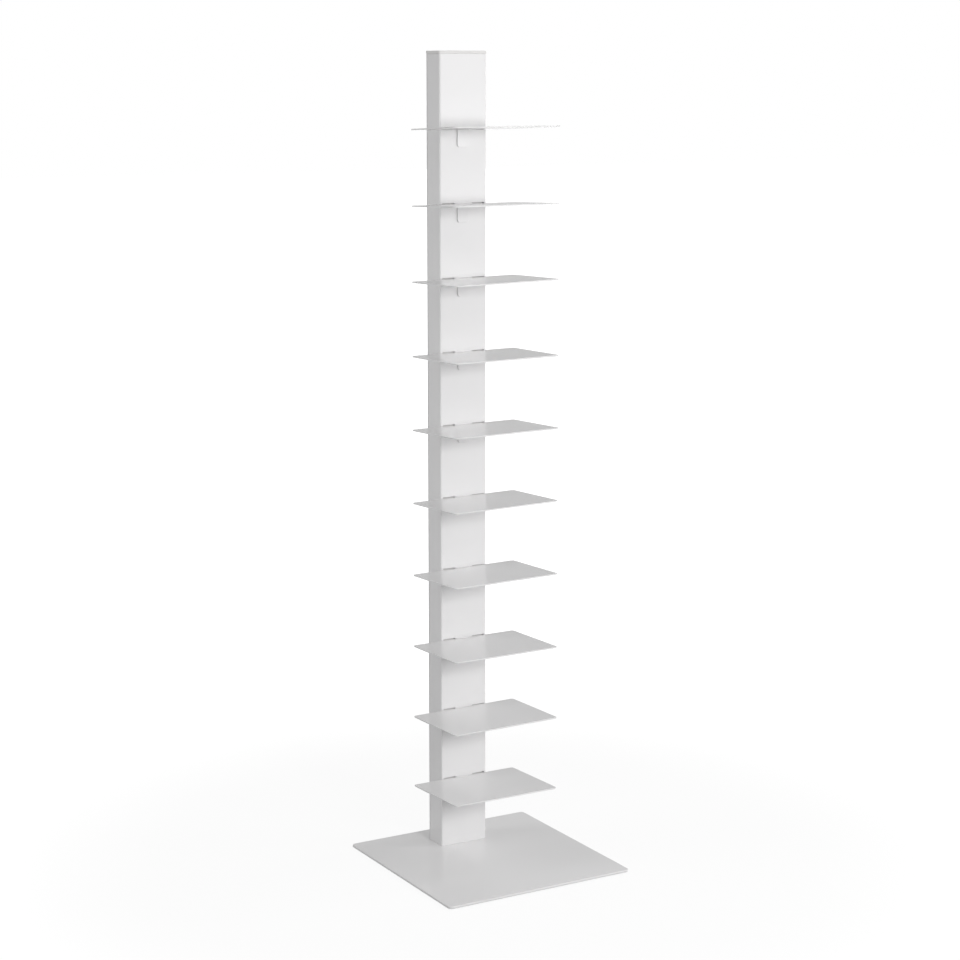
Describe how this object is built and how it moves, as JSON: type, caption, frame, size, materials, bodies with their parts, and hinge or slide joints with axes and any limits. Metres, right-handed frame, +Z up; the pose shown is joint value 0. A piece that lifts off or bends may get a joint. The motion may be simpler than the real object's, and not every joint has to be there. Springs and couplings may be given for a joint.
{
  "type": "spine bookshelf",
  "caption": "Tall spine bookshelf: a slotted folded-steel column on a flat square base, with thin shelves hooked on one above another.",
  "frame": {"origin": "centre of the base's footprint, on the floor", "axes": "+Z up along the column; +Y towards the back, where the column stands; the shelves reach out to -Y"},
  "size_m": [0.424, 0.424, 1.6565],
  "materials": {
    "base_finish": "white satin powder coat on steel plate",
    "column_finish": "white satin powder coat on steel sheet",
    "shelf_finish": "white satin powder coat on steel sheet",
    "cap_plastic": "white moulded plastic, fine texture",
    "pad_rubber": "matt black rubber",
    "zinc_steel": "bright zinc plating"
  },
  "bodies": {
    "spine": {"base_plate": "base_finish", "foot_pad_front_left": "pad_rubber", "foot_pad_front_right": "pad_rubber", "foot_pad_rear_left": "pad_rubber", "foot_pad_rear_right": "pad_rubber", "sole_bracket": "column_finish", "sole_nuts": "zinc_steel", "base_bolts": "zinc_steel", "column_channel": "column_finish", "back_panel": "column_finish", "panel_screws": "zinc_steel", "anchor_nut": "zinc_steel", "end_cap": "cap_plastic"},
    "shelf_01": {"shelf_01": "shelf_finish"},
    "shelf_02": {"shelf_02": "shelf_finish"},
    "shelf_03": {"shelf_03": "shelf_finish"},
    "shelf_04": {"shelf_04": "shelf_finish"},
    "shelf_05": {"shelf_05": "shelf_finish"},
    "shelf_06": {"shelf_06": "shelf_finish"},
    "shelf_07": {"shelf_07": "shelf_finish"},
    "shelf_08": {"shelf_08": "shelf_finish"},
    "shelf_09": {"shelf_09": "shelf_finish"},
    "shelf_10": {"shelf_10": "shelf_finish"}
  },
  "joints": [
    {"name": "shelf_01_swing", "type": "hinge", "parent": "spine", "child": "shelf_01", "pos_m": [0, 0.1025, 0.15466], "axis": [-1, 0, 0], "range_deg": [0, 52]},
    {"name": "shelf_02_swing", "type": "hinge", "parent": "spine", "child": "shelf_02", "pos_m": [0, 0.1025, 0.30466], "axis": [-1, 0, 0], "range_deg": [0, 52]},
    {"name": "shelf_03_swing", "type": "hinge", "parent": "spine", "child": "shelf_03", "pos_m": [0, 0.1025, 0.45466], "axis": [-1, 0, 0], "range_deg": [0, 52]},
    {"name": "shelf_04_swing", "type": "hinge", "parent": "spine", "child": "shelf_04", "pos_m": [0, 0.1025, 0.60466], "axis": [-1, 0, 0], "range_deg": [0, 52]},
    {"name": "shelf_05_swing", "type": "hinge", "parent": "spine", "child": "shelf_05", "pos_m": [0, 0.1025, 0.75466], "axis": [-1, 0, 0], "range_deg": [0, 52]},
    {"name": "shelf_06_swing", "type": "hinge", "parent": "spine", "child": "shelf_06", "pos_m": [0, 0.1025, 0.90466], "axis": [-1, 0, 0], "range_deg": [0, 52]},
    {"name": "shelf_07_swing", "type": "hinge", "parent": "spine", "child": "shelf_07", "pos_m": [0, 0.1025, 1.05466], "axis": [-1, 0, 0], "range_deg": [0, 52]},
    {"name": "shelf_08_swing", "type": "hinge", "parent": "spine", "child": "shelf_08", "pos_m": [0, 0.1025, 1.20466], "axis": [-1, 0, 0], "range_deg": [0, 52]},
    {"name": "shelf_09_swing", "type": "hinge", "parent": "spine", "child": "shelf_09", "pos_m": [0, 0.1025, 1.35466], "axis": [-1, 0, 0], "range_deg": [0, 52]},
    {"name": "shelf_10_swing", "type": "hinge", "parent": "spine", "child": "shelf_10", "pos_m": [0, 0.1025, 1.50466], "axis": [-1, 0, 0], "range_deg": [0, 83]}
  ]
}
